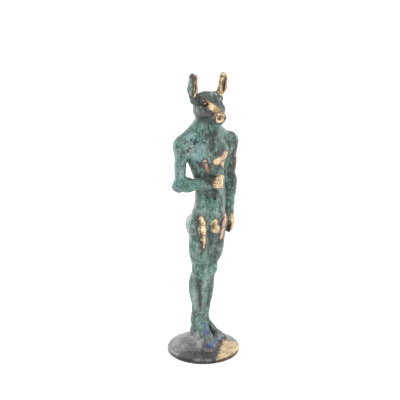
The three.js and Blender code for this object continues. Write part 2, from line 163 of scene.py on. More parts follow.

# Zones of the patina, of painted shade and of painted highlights: the distances outside and inside
# a place between which its colour comes in, and how far mottle and flakes fray its edge, in millimetres
ZONES = {
    "pale": (1.2, -1.4, 7.0, 0.0),
    "bluish": (2.2, -2.8, 11.2, 0.0),
    "dark": (0.8, -0.9, 4.9, 0.0),
    "brown": (0.6, -0.5, 4.2, 4.0),
    "painted_shade": (0.5, -0.4, 2.1, 4.0),
    "blue": (0.30, -0.30, 4.2, 4.0),
}
METAL_SPECK_SWING = 2.6
METAL_MOTTLE_SWING = 2.38

# Heights between which the plinth's grey and the rim's soot come in, and how far mottle frays them
STONE_LEVELS = (13.0, 7.0, 6.3)
RIM_LEVELS = (2.3, 1.1, 1.4)

# Colours
DEEP_GREEN = (0.018, 0.040, 0.034, 1)
SEA_GREEN = (0.099, 0.172, 0.150, 1)
EMERALD = (0.046, 0.162, 0.112, 1)
PALE_GREEN = (0.31, 0.41, 0.365, 1)
POWDER_BLUE = (0.19, 0.355, 0.365, 1)
COBALT = (0.028, 0.065, 0.25, 1)
STEEL_BLUE = (0.080, 0.20, 0.27, 1)
# Near-black, for soot in the hollows, dark flecks, the rim's band and painted shade
SOOT_AND_SHADE = (0.016, 0.018, 0.017, 1)
UMBER = (0.052, 0.039, 0.036, 1)
PLUM = (0.078, 0.061, 0.062, 1)
SLATE = (0.064, 0.072, 0.068, 1)
PALE_STONE = (0.27, 0.272, 0.265, 1)
STONE = (0.155, 0.156, 0.153, 1)
DARK_STONE = (0.062, 0.060, 0.061, 1)
GOLD = (0.33, 0.215, 0.115, 1)
BRIGHT_GOLD = (0.78, 0.61, 0.38, 1)
COPPER = (0.24, 0.145, 0.105, 1)
BRIGHT_COPPER = (0.62, 0.43, 0.31, 1)

# The camera, in degrees, metres and the photograph's pixels
CAMERA_AZIMUTH = -30.0
CAMERA_REACH = 0.380
CAMERA_HEIGHT = 0.181
CAMERA_PITCH = 14.33
FOCAL_PIXELS = 751.0
AXIS_OFFSET_PIXELS = 3.4
PHOTO_SIDE = 400
SENSOR_WIDTH = 36.0
CLIP_START = 0.01

# The room's light and the floor
WHITE = (1, 1, 1, 1)
ROOM_BRIGHT = 1.05
ROOM_DIM = 0.18
ROOM_TURN = (-0.7, 0.35)
OVERHEAD_STRENGTH = 1.0
OVERHEAD_SPREAD = 70
OVERHEAD_LEAN = 28
OVERHEAD_TURN = 30
FLOOR_HALF_SIZE = 60.0
FLOOR_DROP = 0.00005
FLOOR_COLOUR = (0.93, 0.93, 0.93, 1)
FLOOR_ROUGHNESS = 0.9
FLOOR_GLOW = 0.25
LIGHT_BASE = 0.08

# Light boxes: name, degrees round from the camera, degrees up, distance, size and power
LIGHT_BOXES = (
    ("left_box", -127, 14, 0.60, (0.30, 0.60), 2.1),
    ("right_box", 128, 14, 0.60, (0.30, 0.60), 0.9),
    ("key_box", 25, 42, 0.70, (0.18, 0.18), 1.9),
)


def turned(degrees):
    x, y, z = np.radians(degrees)
    about_x = np.array([[1, 0, 0], [0, np.cos(x), -np.sin(x)], [0, np.sin(x), np.cos(x)]])
    about_y = np.array([[np.cos(y), 0, np.sin(y)], [0, 1, 0], [-np.sin(y), 0, np.cos(y)]])
    about_z = np.array([[np.cos(z), -np.sin(z), 0], [np.sin(z), np.cos(z), 0], [0, 0, 1]])
    return (about_z @ about_y @ about_x).astype(np.float32)


def limb(start, end, start_radius, end_radius):
    start = np.array(start, np.float32)
    run = np.array(end, np.float32) - start
    squared = np.float32(run @ run)

    def form(points):
        offset = points - start
        along = np.clip(offset @ run / squared, 0, 1)
        gap = offset - along[:, None] * run
        reach = np.sqrt(np.einsum("ij,ij->i", gap, gap))
        return reach - start_radius - along * np.float32(end_radius - start_radius)

    return form


def within(origin, degrees, form):
    origin = np.array(origin, np.float32)
    turn = turned(degrees)
    if not any(degrees):
        return lambda points: form(points - origin)
    return lambda points: form((points - origin) @ turn)


def egg(centre, radii, degrees=(0, 0, 0)):
    radii = np.array(radii, np.float32)

    def form(points):
        unit = points / radii
        steep = unit / radii
        reach = np.sqrt(np.einsum("ij,ij->i", unit, unit))
        slope = np.sqrt(np.einsum("ij,ij->i", steep, steep)) + np.float32(1e-6)
        return reach * (reach - 1) / slope

    return within(centre, degrees, form)


def soft_min(p, q, softness):
    overlap = np.maximum(np.float32(softness) - np.abs(p - q), 0)
    return np.minimum(p, q) - overlap * overlap / np.float32(4 * softness)


def blend(softness, *forms):
    def form(points):
        nearest = forms[0](points)
        for other in forms[1:]:
            nearest = soft_min(nearest, other(points), softness)
        return nearest

    return form


def carve(softness, body, *cuts):
    def form(points):
        depth = -body(points)
        for cut in cuts:
            depth = soft_min(depth, cut(points), softness)
        return -depth

    return form


def scaled(scale, form):
    return lambda points: np.float32(scale) * form(points / np.float32(scale))


def plus(point, dx, dy, dz):
    return (point[0] + dx, point[1] + dy, point[2] + dz)


def between(start, end, share):
    return tuple(a + (b - a) * share for a, b in zip(start, end))


# The body, in drawn units


def torso_furrows():
    return [
        limb((MIDLINE, -9.6, 106.5), (MIDLINE, -9.2, 92), 0.55, 0.4),
        limb((MIDLINE, 7.4, 105), (MIDLINE, 6.2, 73), 0.7, 0.7),
        limb((MIDLINE, 8.6, 68), (MIDLINE, 6.5, 59.5), 0.6, 0.8),
        egg((MIDLINE + 0.3, -9.1, 79.5), (0.45, 0.9, 0.6)),
        *[limb((MIDLINE + s * 9.4, -6.4, 70.5), (MIDLINE + s * 2.2, -8.2, 62.5), 0.5, 0.5) for s in SIDES],
        *[limb((MIDLINE + s * 3.4, -8.9, 97.6), (MIDLINE + s * 8.4, -6.4, 97.4), 0.5, 0.6) for s in SIDES],
    ]


def torso():
    ribs = egg((MIDLINE + 0.2, -1.6, 99.5), (9.6, 7, 12), (4, 0, 0))
    shoulders = egg((MIDLINE, -0.2, 104.5), (12, 6, 6.5))
    waist = egg((MIDLINE + 1.3, -2.2, 83), (8, 6, 15))
    pelvis = egg((MIDLINE + 0.8, -1.3, 67.5), (10, 7, 8.5))
    belly = egg((MIDLINE + 0.2, -4.6, 75.5), (6.6, 4.2, 9))
    core = blend(5, ribs, shoulders, waist, pelvis, belly)
    back = []
    for s in SIDES:
        back.append(limb((MIDLINE + s * 9.4, 0.4, 105), (MIDLINE + s * 4.2, -0.2, 88), 3.3, 1.2))
        back.append(egg((MIDLINE + s * 5.6, 3.9, 101.5), (4.6, 2.8, 6), (0, 0, s * -14)))
    pecs = [egg((MIDLINE + s * 5, -5.9, 103), (5.8, 2.7, 4.6), (10, 0, s * 18)) for s in SIDES]
    buttocks = [egg((MIDLINE + s * 4.7, 3, 63.9), (5.1, 4.8, 5.5)) for s in SIDES]
    fleshed = blend(2.2, blend(2.6, blend(2, core, *back), *pecs), *buttocks)
    return carve(1.2, fleshed, *torso_furrows())


def neck():
    column = limb((MIDLINE + 0.9, -0.4, 107), (MIDLINE + 0.9, -1.8, 122), 7, 6.6)
    slopes = []
    for s in SIDES:
        slopes.append(limb((MIDLINE + s * 2.5, 0.8, 114.5), (MIDLINE + s * 13.2, 0.4, 107.2), 4.8, 4.1))
    return blend(3, column, *slopes)


def groin():
    pouch = egg((MIDLINE + 0.8, -8.5, 62.8), (3, 1.9, 2.8))
    member = limb((MIDLINE + 0.3, -9.2, 65.6), (MIDLINE + 0.3, -10.2, 62.4), 1.1, 0.95)
    return blend(0.8, pouch, member)


def thigh(hip, knee, side):
    middle = between(knee, hip, 0.55)
    bone = limb(hip, plus(knee, 0, 0, 4), 5.3, 3.6)
    front = egg(plus(middle, side * 0.4, -1.4, 1.5), (4.5, 4.4, 11.5))
    rear = egg(plus(middle, 0, 1.8, -1), (4.3, 3.8, 10.5))
    joint = egg(knee, (3.9, 3.9, 5))
    kneecap = egg(plus(knee, 0, -2.4, 0), (2.7, 2.1, 3.2))
    return blend(2.5, bone, front, rear, joint, kneecap)


def shin(knee, ankle, heel, side):
    bone = limb(knee, ankle, 3.6, 2.8)
    calf = egg(plus(between(knee, ankle, 0.36), side * 0.5, 1.6, 0), (4.2, 3.5, 10), (-4, 0, 0))
    tendon = limb(plus(ankle, 0, 0, 3), heel, 2.1, 2.2)
    return blend(2, bone, calf, tendon)


def foot(ankle, heel, toe):
    ball = (*between(toe, ankle, 0.22)[:2], toe[2] + 0.4)
    sole = limb(heel, ball, 2.4, 2.1)
    front = limb(ball, toe, 2.2, 1.6)
    instep = limb(plus(ankle, 0, 0, -1.4), plus(ball, 0, 0, 0.1), 2.4, 1.5)
    return blend(1.8, sole, front, instep)


def leg(hip, knee, ankle, toe, side):
    stride = np.array(ankle[:2]) - np.array(toe[:2])
    stride = stride * 2.2 / np.linalg.norm(stride)
    heel = (ankle[0] + stride[0], ankle[1] + stride[1], 1.8)
    return blend(2, thigh(hip, knee, side), shin(knee, ankle, heel, side), foot(ankle, heel, toe))


def arm(shoulder, elbow, wrist, side):
    deltoid = egg(plus(shoulder, side * -0.4, 0, -0.6), (3.9, 4.2, 6.2), (0, side * 12, 0))
    upper = limb(shoulder, elbow, 3.2, 1.9)
    biceps = egg(plus(between(elbow, shoulder, 0.45), 0, -0.7, 0), (2.2, 2.9, 6))
    joint = egg(plus(elbow, side * 0.4, 0.2, -0.6), (2.5, 2.7, 2.3))
    forearm = limb(elbow, wrist, 3.1, 2.5)
    flesh = egg(between(elbow, wrist, 0.28), (2.8, 2.9, 3.5))
    return blend(2.6, deltoid, upper, biceps, joint, forearm, flesh)


def fist():
    palm = egg((0, 0, 0), (2.6, 2.1, 3.4))
    fingers = [egg((-0.6, -1.2, 1.9 - 1.25 * n), (2, 1.1, 0.75)) for n in range(4)]
    thumb = limb((1.2, -1.4, 2.2), (-0.6, -2, 2.7), 0.85, 0.7)
    return blend(0.7, palm, *fingers, thumb)


def open_hand():
    palm = egg((0, 0, 1), (2.1, 2.8, 4))
    fingers = []
    for n in range(4):
        tip = (-0.9, n - 1.3, -4.6 + 0.2 * abs(n - 1.5))
        fingers.append(limb((0.1, 1.15 * n - 1.7, -1.2), tip, 0.85, 0.65))
    thumb = limb((-0.3, -2.5, 1.4), (-0.9, -3, -2.6), 0.9, 0.7)
    return blend(0.8, palm, *fingers, thumb)


def right_arm():
    bent = arm((-12.9, 0.2, 106), (-13.9, 0.8, 86.1), (-1.2, -10, 87.6), RIGHT)
    return blend(1.2, bent, within((1.2, -12.3, 89), (0, 0, 10), scaled(1.2, fist())))


def left_arm():
    hanging = arm((16.6, 0.3, 106), (17.2, 1.2, 86), (15.2, -1.2, 69), LEFT)
    joined = limb((12.8, 0.4, 98), (11.8, -0.2, 86), 2.4, 1.6)
    return blend(1.6, hanging, within((15.4, -1.9, 63), (6, 2, 0), open_hand()), joined)


# The bull's head, in drawn units about the middle of the skull


def face():
    skull = egg((0, 0, 0), (7, 6.8, 6.4))
    jowls = [egg((s * 3.6, -1.8, -3.6), (3.4, 4.4, 3.8)) for s in SIDES]
    muzzle = limb((0, -4.5, -1), (0, -12.4, -2.6), 5, 3)
    jaw = limb((0, -3, -5.6), (0, -11.4, -5.8), 3.4, 1.9)
    nose = egg((0, -13.4, -2.6), (3.3, 2.2, 2.9))
    cheeks = [egg((s * 4.4, -6.4, -1), (2.3, 3.2, 3.3)) for s in SIDES]
    crown = limb((-4.6, -0.6, 4.7), (4.6, -0.6, 4.7), 1.9, 1.9)
    brows = [limb((s * 1.4, -5.8, 4), (s * 5.8, -3.6, 3.8), 1.2, 1.3) for s in SIDES]
    mass = blend(2.6, skull, *jowls, *cheeks, muzzle, jaw)
    return blend(1, blend(1.4, mass, nose, crown), *brows)


def face_cuts():
    cuts = []
    for s in SIDES:
        cuts.append(egg((s * 4.9, -6, 2.3), (1.5, 1.4, 1)))
        cuts.append(egg((s * 1.7, -15.2, -2.2), (0.8, 0.9, 0.7)))
        cuts.append(limb((0, -15, -4.9), (s * 3.6, -11, -4.6), 0.35, 0.35))
        cuts.append(limb((s * 3.6, -11, -4.6), (s * 4.8, -6, -3.6), 0.35, 0.3))
    return cuts


def horn(side):
    root = (side * 7.2 - 0.5, 0.8, 2)
    middle = (side * 8.6 - 0.4, 0.6, 8)
    tip = (side * 8.7 - 1.1, 0.2, 13.9)
    shaft = blend(1.2, limb(root, middle, 1.9, 2.4), limb(middle, tip, 2.4, 2.3))
    hollow = egg((side * 8.4 - 0.6, -2.3, 9.2), (0.95, 1.8, 6.2), (0, side * 2, 0))
    return carve(0.6, shaft, hollow)


def bull_head():
    eyes = [egg((s * 4.7, -5.5, 2.3), (1.1, 1, 0.8)) for s in SIDES]
    cut = carve(0.6, face(), *face_cuts())
    return blend(1.2, blend(0.3, cut, *eyes), horn(RIGHT), horn(LEFT))


def figure():
    head = within((MIDLINE - 0.4, -1.8, 127.2), (14, 0, 2), bull_head())
    trunk = blend(0.8, blend(1.2, blend(2, torso(), neck()), head), groin())
    right_leg = leg((-4, -1.4, 63.5), (-3.1, -1.4, 39.5), (-2.5, 3.2, 9.6), (-2.5, -10.6, -0.6), RIGHT)
    left_leg = leg((7.8, -1.2, 63.5), (4.2, 1, 39.5), (3, 5, 9.6), (9.6, -5.6, -0.4), LEFT)
    upper_join = limb((1.4, -0.6, 57), (0.6, -0.3, 38), 3, 2.8)
    lower_join = limb((0.6, -0.3, 38), (0.3, 4, 10), 2.8, 2.2)
    foot_join = limb((0.3, 4, 10), (1.4, -3.6, 1), 2.2, 2)
    legs = blend(1.2, right_leg, left_leg, upper_join, lower_join, foot_join)
    body = blend(3.2, trunk, legs)
    return blend(2.6, blend(1.6, body, right_arm()), left_arm())


# The plinth


def rim():
    flat_radius = PLINTH_RADIUS - RIM_ROUNDING
    flat_top = RIM_HEIGHT - RIM_ROUNDING

    def form(points):
        out = np.hypot(points[:, 0], points[:, 1]) - np.float32(flat_radius)
        up = points[:, 2] - np.float32(flat_top)
        outside = np.hypot(np.maximum(out, 0), np.maximum(up, 0))
        return outside + np.minimum(np.maximum(out, up), 0) - np.float32(RIM_ROUNDING)

    return form


def plinth():
    foot_level = RIM_HEIGHT / 2
    dome_radius = PLINTH_RADIUS - RIM_ROUNDING
    dome = egg((0, 0, foot_level), (dome_radius, dome_radius, DOME_HEIGHT - foot_level))
    mound_radii = (0.5 * PLINTH_RADIUS, 0.65 * PLINTH_RADIUS, MOUND_HEIGHT - foot_level)
    mound = egg((0.8, -1.5, foot_level), mound_radii)
    return blend(2, dome, rim(), mound)


def statuette():
    standing = within((0, 0, SOLE_LEVEL), (0, 0, 0), scaled(UNIT, figure()))
    whole = blend(3, standing, plinth())
    return lambda points: np.maximum(whole(points), -points[:, 2])


# Noise, a smooth random value between -1 and 1 for each point


def lattice_value(corner):
    mixed = corner[:, 0] * LATTICE_X ^ corner[:, 1] * LATTICE_Y ^ corner[:, 2] * LATTICE_Z
    mixed = (mixed ^ (mixed >> 13)) * LATTICE_MIX & LATTICE_MASK
    return (mixed ^ (mixed >> 16)) % LATTICE_LEVELS / (LATTICE_LEVELS / 2 - 0.5) - 1


def noise(points, size):
    scaled_points = points / size + LATTICE_SHIFT
    corner = np.floor(scaled_points).astype(np.int64)
    part = scaled_points - corner
    part = part * part * (3 - 2 * part)
    total = np.zeros(len(points))
    for n in range(8):
        step = np.array([n & 1, n >> 1 & 1, n >> 2])
        weight = np.prod(np.where(step, part, 1 - part), axis=1)
        total += weight * lattice_value(corner + step)
    return total


def rough(points, size, octaves):
    return sum(noise(points, size / 2**n) / 2**n for n in range(octaves))


def ramp(values, low, high):
    share = np.clip((values - low) / (high - low), 0, 1)
    return share * share * (3 - 2 * share)


# The skin: the form is sampled on a grid near its surface, and every cell that the surface crosses
# gets one vertex, joined to the vertices of the cells beside it.


def sample(form, points):
    return np.concatenate([form(points[n:n + CHUNK]) for n in range(0, len(points), CHUNK)])


def grid_points(shape, low, step):
    index = np.indices(shape, dtype=np.float32).reshape(3, -1).T
    return index * np.float32(step) + low


def sample_grid(form, low, high):
    coarse_step = FINE_STEP * COARSE
    blocks = np.ceil((high - low) / coarse_step).astype(int)
    corners = sample(form, grid_points(blocks + 1, low, coarse_step)).reshape(blocks + 1)
    near = np.abs(corners) < NEAR * coarse_step
    live = np.zeros(blocks, bool)
    for n in range(8):
        i, j, k = n & 1, n >> 1 & 1, n >> 2
        live |= near[i:i + blocks[0], j:j + blocks[1], k:k + blocks[2]]
    fine = live
    values = corners[:-1, :-1, :-1]
    for axis in range(3):
        fine = np.repeat(fine, COARSE, axis)
        values = np.repeat(values, COARSE, axis)
    index = np.argwhere(fine)
    points = index.astype(np.float32) * np.float32(FINE_STEP) + low
    values[fine] = sample(form, points)
    return values


def cell_vertices(values, low):
    inside = values < 0
    shape = np.array(values.shape) - 1
    count = np.zeros(shape, np.int8)
    for n in range(8):
        i, j, k = n & 1, n >> 1 & 1, n >> 2
        count += inside[i:i + shape[0], j:j + shape[1], k:k + shape[2]]
    cells = np.argwhere((count > 0) & (count < 8))
    total = np.zeros((len(cells), 3))
    hits = np.zeros(len(cells))
    for axis in range(3):
        step = np.eye(3, dtype=int)[axis]
        others = [np.eye(3, dtype=int)[other] for other in range(3) if other != axis]
        for first in (0, 1):
            for second in (0, 1):
                start = cells + first * others[0] + second * others[1]
                p = values[tuple(start.T)]
                q = values[tuple((start + step).T)]
                crossed = (p < 0) != (q < 0)
                share = np.where(crossed, p / np.where(crossed, p - q, 1), 0)
                total += np.where(crossed[:, None], start + share[:, None] * step, 0)
                hits += crossed
    numbers = np.full(shape, -1)
    numbers[tuple(cells.T)] = np.arange(len(cells))
    return total / hits[:, None] * FINE_STEP + low, numbers


def cell_faces(values, numbers):
    inside = values < 0
    faces = []
    for axis in range(3):
        u, v = np.eye(3, dtype=int)[(axis + 1) % 3], np.eye(3, dtype=int)[(axis + 2) % 3]
        step = np.eye(3, dtype=int)[axis]
        here = inside[tuple(slice(0, size - s) for size, s in zip(inside.shape, step))]
        there = inside[tuple(slice(s, size) for size, s in zip(inside.shape, step))]
        start = np.argwhere(here != there)
        limit = np.array(numbers.shape)
        start = start[np.all((start - u - v >= 0) & (start < limit), axis=1)]
        ring = [start, start - u, start - u - v, start - v]
        quads = np.stack([numbers[tuple(cell.T)] for cell in ring], axis=1)
        outward = inside[tuple(start.T)]
        quads[~outward] = quads[~outward][:, ::-1]
        faces.append(quads)
    return np.concatenate(faces)


def slope_of(form, points):
    offsets = np.eye(3, dtype=np.float32) * SLOPE_REACH
    parts = [sample(form, points + step) - sample(form, points - step) for step in offsets]
    slope = np.stack(parts, axis=1)
    return slope / np.maximum(np.linalg.norm(slope, axis=1, keepdims=True), 1e-6)


def settle(form, points):
    """Moves points that lie near the surface on to it."""
    for _ in range(SETTLE_ROUNDS):
        normals = slope_of(form, points)
        points = points - normals * sample(form, points)[:, None]
    return points.astype(np.float32), normals


# Where the surface is worn, stained or dark, and where shade and highlights are painted on. Each place
# is a form of its own, in millimetres, and every vertex keeps its distance from it, so that the material
# can fray the edge.


def all_of(*forms):
    return lambda points: np.min([form(points) for form in forms], axis=0)


def beside(point, facing):
    """A flat limit through a point: positive on the side that it faces, negative behind it."""
    unit = np.array(facing) / np.linalg.norm(facing)
    return lambda points: (points - np.array(point)) @ unit


def shared_by(*forms):
    return lambda points: np.max([form(points) for form in forms], axis=0)


def gold_places():
    worn_corner = shared_by(
        beside((6.6, -7.7, 5.7), (-0.747, 0.665, 0)),
        beside((6.6, -7.7, 5.7), (-0.14, 0.99, 0)),
        beside((6.6, -7.7, 6.6), (0, 0, 1)),
    )
    return all_of(
        worn_corner,
        limb((-3.8, -8.0, 136.2), (-1.8, -9.8, 134.2), 1.2, 1.6),
        limb((-1.8, -9.8, 134.2), (0.2, -12.6, 132.6), 1.6, 2.2),
        egg((-0.1, -15.8, 129.6), (3.1, 2.8, 3.1)),
        limb((-8.3, -6.8, 150.0), (-7.2, -4.8, 139.4), 1.5, 1.3),
        limb((7.2, -4.6, 150.0), (8.2, -3.4, 139.4), 3.4, 2.8),
        limb((7.3, -8.8, 110.3), (9.0, -7.1, 106.6), 1.1, 1.6),
        limb((2.5, -8.8, 105.6), (7.0, -8.1, 106.4), 1.8, 2.5),
        egg((6.2, -8.6, 106.8), (2.6, 1.8, 1.9)),
        limb((9.2, -7.0, 108.8), (9.9, -5.6, 103.4), 1.5, 1.2),
        limb((7.0, -8.1, 105.4), (9.6, -6.2, 102.2), 2.1, 1.6),
        egg((0.7, -14.4, 96.4), (3.8, 3.4, 4.6)),
        limb((-5.4, -6.7, 76.0), (-5.0, -7.1, 70.5), 1.7, 2.4),
        limb((-5.0, -7.1, 70.5), (-4.4, -7.3, 64.7), 2.4, 1.7),
        limb((-4.4, -7.3, 64.7), (-3.6, -7.3, 60.0), 1.7, 0.3),
        egg((1.6, -10.0, 72.0), (3.2, 2.4, 3.6)),
        egg((15.0, -4.4, 70.4), (2.2, 2.8, 5.4)),
    )


def copper_places():
    return all_of(
        limb((-3.9, -7.9, 106.4), (-2.6, -7.8, 103.0), 1.1, 1.0),
        limb((-2.6, -7.8, 103.0), (-1.4, -7.9, 99.6), 1.0, 0.4),
        limb((-5.0, -7.2, 104.4), (-3.4, -7.9, 103.6), 0.4, 0.6),
        limb((9.2, -6.4, 79.2), (8.6, -7.0, 71.0), 1.8, 1.9),
        limb((8.6, -7.0, 71.0), (7.2, -6.4, 64.4), 1.9, 1.3),
        limb((17.6, -3.3, 107.6), (17.9, -3.0, 98.8), 1.2, 1.0),
    )


def brown_places():
    return all_of(
        limb((-2.4, -11.4, 130.0), (-2.2, -14.2, 127.8), 1.7, 1.6),
        limb((-4.4, -7.4, 132.8), (-2.6, -11.2, 128.6), 1.8, 2.0),
        limb((-5.2, -6.6, 138.6), (-3.4, -7.9, 137.6), 1.3, 1.1),
        # A painted shadow line down the right horn, between its pale outer edge and its gold
        limb((-9.8, -6.9, 148.4), (-8.6, -4.8, 139.4), 0.7, 0.6),
        limb((7.8, -6.5, 147.4), (9.0, -4.6, 141.4), 0.9, 0.8),
        egg((-0.1, -16.8, 129.8), (1.2, 1.4, 1.4)),
        limb((-6.8, -5.8, 77.0), (-6.0, -6.6, 69.0), 1.6, 1.4),
        limb((-6.0, -6.6, 69.0), (-4.4, -7.0, 58.6), 1.4, 0.8),
        limb((5.4, -7.6, 76.0), (5.8, -7.2, 66.0), 1.5, 1.7),
        limb((17.2, -3.4, 113.0), (17.6, -3.0, 97.0), 2.2, 2.0),
        limb((2.6, -9.2, 109.6), (6.6, -9.0, 111.4), 1.6, 1.3),
        limb((-0.8, -8.8, 104.0), (1.4, -8.8, 101.6), 1.1, 1.0),
        egg((-2.0, -12.0, 97.4), (2.2, 2.2, 3.2)),
        limb((-10.0, -6.6, 89.6), (-4.0, -10.6, 91.4), 0.8, 0.9),
        limb((5.6, -9.0, 5.8), (-3.8, -17.6, 2.8), 1.7, 1.7),
    )


def blue_places():
    return all_of(
        limb((0.1, -0.8, 14.2), (-0.3, -2.8, 11.6), 1.2, 1.2),
        limb((-0.3, -2.8, 11.6), (-0.9, -5.6, 9.8), 1.0, 0.8),
        limb((-3.5, -12.0, 7.2), (-0.8, -10.5, 7.4), 1.0, 0.8),
        limb((-0.8, -10.5, 7.4), (4.8, -6.7, 6.5), 0.8, 0.7),
        limb((4.8, -6.7, 6.5), (8.9, -6.4, 7.8), 0.7, 0.6),
    )


def dark_and_shade_places():
    # Dark grey-green patina over the head and on the right horn's outer side; the rest is painted shade:
    # down the left arm, in the sternum's furrow, along the right shin's edge, on the plinth's front, over
    # the left thigh and shin, and in the belly's crease under the forearm
    return all_of(
        egg((0.4, -5.0, 134.4), (9.5, 12.6, 10.6)),
        limb((-10.6, -6.0, 151.0), (-8.6, -3.4, 138.0), 3.0, 3.0),
        limb((18.0, 1.0, 116.0), (17.4, 1.0, 78.0), 3.6, 3.2),
        limb((2.0, -7.6, 119.8), (-0.4, -9.0, 112.4), 1.7, 1.5),
        limb((-4.6, -3.4, 41.0), (-2.8, -1.8, 26.0), 1.8, 1.4),
        limb((-16.0, -7.0, 1.8), (-3.0, -16.5, 2.2), 3.2, 3.0),
        limb((6.4, -5.4, 66.0), (5.2, -4.4, 50.0), 1.8, 1.4),
        limb((4.8, -1.4, 44.0), (3.8, 1.2, 24.0), 1.2, 1.0),
        limb((1.0, -9.0, 89.6), (5.0, -8.6, 89.0), 1.6, 1.4),
    )


def painted_shade_places():
    # Painted shade: down the sternum's furrow, under the right pec, beside the fist, in the belly's crease,
    # along the top of the right forearm, beside the pouch, down the left arm, along the right shin's edge
    # and between the thighs
    return all_of(
        limb((2.2, -8.0, 120.6), (1.6, -8.0, 116.1), 1.0, 0.9),
        limb((1.6, -8.0, 116.1), (-0.2, -9.3, 112.4), 0.9, 0.5),
        limb((-7.4, -5.9, 105.7), (-4.8, -6.6, 103.0), 1.0, 1.2),
        limb((-1.1, -7.8, 98.6), (-2.2, -10.8, 97.0), 0.5, 0.7),
        limb((-2.8, -8.2, 88.2), (2.4, -9.3, 87.6), 0.4, 0.7),
        limb((-12.3, -5.1, 95.2), (-6.8, -8.5, 95.4), 0.1, 0.15),
        limb((5.0, -9.3, 79.0), (6.6, -8.2, 74.6), 0.9, 0.9),
        limb((6.6, -8.2, 74.6), (6.5, -7.3, 69.6), 0.9, 0.7),
        limb((15.6, -4.1, 115.6), (18.0, -3.0, 106.0), 0.9, 0.8),
        limb((18.4, -2.5, 98.0), (17.8, -2.9, 90.0), 0.8, 0.6),
        limb((-4.6, -3.3, 38.7), (-2.3, -1.5, 26.2), 0.8, 0.6),
        limb((-2.3, -1.5, 26.2), (-1.6, -0.2, 19.8), 0.6, 0.4),
        limb((-0.7, -6.1, 58.3), (-0.1, -4.1, 51.0), 0.3, 0.3),
    )


def painted_highlight_places():
    # Painted highlights: down the right hip, on the right shin's outer side and inner edge, down the left
    # thigh's front to the knee, on the left flank and belly beside the fist, on the brow, on the right
    # pec's outer side, along the right horn's outer edge and on the plinth's right rear
    return all_of(
        limb((-8.4, 1.0, 80.0), (-9.4, -1.6, 64.0), 2.0, 1.6),
        limb((-6.6, -1.2, 33.0), (-4.8, 0.6, 18.0), 1.4, 1.2),
        limb((3.6, -7.0, 58.0), (3.0, -4.6, 44.0), 0.9, 0.7),
        limb((11.3, -2.4, 99.4), (12.3, -1.4, 92.4), 1.2, 1.2),
        limb((6.8, -8.2, 92.4), (4.2, -9.2, 87.0), 1.0, 0.9),
        limb((-6.5, -1.3, 40.1), (-6.0, -0.4, 28.3), 0.7, 0.6),
        limb((-2.0, -6.4, 47.6), (0.5, -2.2, 37.3), 0.4, 0.4),
        egg((3.2, -5.7, 139.5), (2.2, 1.8, 1.2)),
        egg((4.6, -8.1, 137.7), (2.0, 1.8, 1.1)),
        egg((-10.6, -4.6, 112.4), (2.6, 2.4, 4.6)),
        limb((-11.2, -6.1, 148.0), (-10.0, -4.7, 140.0), 0.8, 0.6),
        limb((-14.5, 5.0, 3.4), (-7.5, 12.0, 4.4), 2.6, 2.8),
    )


def bluish_places():
    return all_of(
        egg((-8.6, -5.0, 112.8), (5.2, 4.6, 7.6)),
        # The right upper arm's outer side: powder-blue patina, with a painted highlight along its edge
        limb((-17.8, 0.0, 110.0), (-17.4, 0.4, 93.0), 2.4, 2.8),
        limb((-13.5, -4.6, 95.5), (-6.5, -8.6, 95.4), 0.8, 0.8),
    )


PLACES = {
    "gold": gold_places,
    "copper": copper_places,
    "blue": blue_places,
    "brown": brown_places,
    "dark": dark_and_shade_places,
    "painted_shade": painted_shade_places,
    "pale": painted_highlight_places,
    "bluish": bluish_places,
}


def hollowness(form, points, normals):
    """Nought on flat and rounded skin, up to one in a narrow hollow."""
    ahead = sample(form, points + normals * np.float32(HOLLOW_REACH))
    return np.clip(1 - ahead / HOLLOW_REACH, 0, 1)


def relief(points, bare):
    """How far the cast and corroded skin stands off the smooth form, in millimetres."""
    head = ramp(points[:, 2], *HEAD_LEVELS)
    lumps = (LUMP_DEPTH + HEAD_LUMP_DEPTH * head) * rough(points, LUMP_SIZE, 2)
    pits = -PIT_DEPTH * ramp(rough(points + PIT_SHIFT, PIT_SIZE, 2), *PIT_LEVELS)
    grain = GRAIN_DEPTH * noise(points + GRAIN_SHIFT, GRAIN_SIZE)
    unworn = ramp(bare, *WORN_LEVELS)
    return lumps * (0.5 + 0.5 * unworn) + (pits + grain) * unworn


def build_mesh(name, points, faces):
    mesh = bpy.data.meshes.new(name)
    mesh.vertices.add(len(points))
    mesh.vertices.foreach_set("co", (points * MM).astype(np.float32).ravel())
    mesh.loops.add(faces.size)
    mesh.loops.foreach_set("vertex_index", faces.astype(np.int32).ravel())
    mesh.polygons.add(len(faces))
    mesh.polygons.foreach_set("loop_start", np.arange(0, faces.size, 4, dtype=np.int32))
    mesh.polygons.foreach_set("use_smooth", np.ones(len(faces), bool))
    mesh.update()
    mesh.validate()
    return mesh


def keep_value(mesh, name, values):
    layer = mesh.attributes.new(name, "FLOAT", "POINT")
    layer.data.foreach_set("value", values.astype(np.float32))


def statuette_mesh():
    form = statuette()
    low, high = (np.array(corner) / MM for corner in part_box(NODE))
    low = (low - MARGIN).astype(np.float32)
    values = sample_grid(form, low, high + MARGIN)
    points, numbers = cell_vertices(values, low)
    faces = cell_faces(values, numbers)
    points, normals = settle(form, points.astype(np.float32))
    places = {name: sample(make(), points) for name, make in PLACES.items()}
    bare = np.minimum(places["gold"], places["copper"])
    above = ramp(points[:, 2], *FLAT_LEVELS)
    raised = points + normals * (relief(points, bare) * above)[:, None]
    raised[:, 2] = np.maximum(raised[:, 2], 0)
    mesh = build_mesh("minotaur_skin", raised, faces)
    for name, values in places.items():
        keep_value(mesh, name, values)
    keep_value(mesh, "hollow", hollowness(form, points, normals))
    return mesh


# The patinated bronze


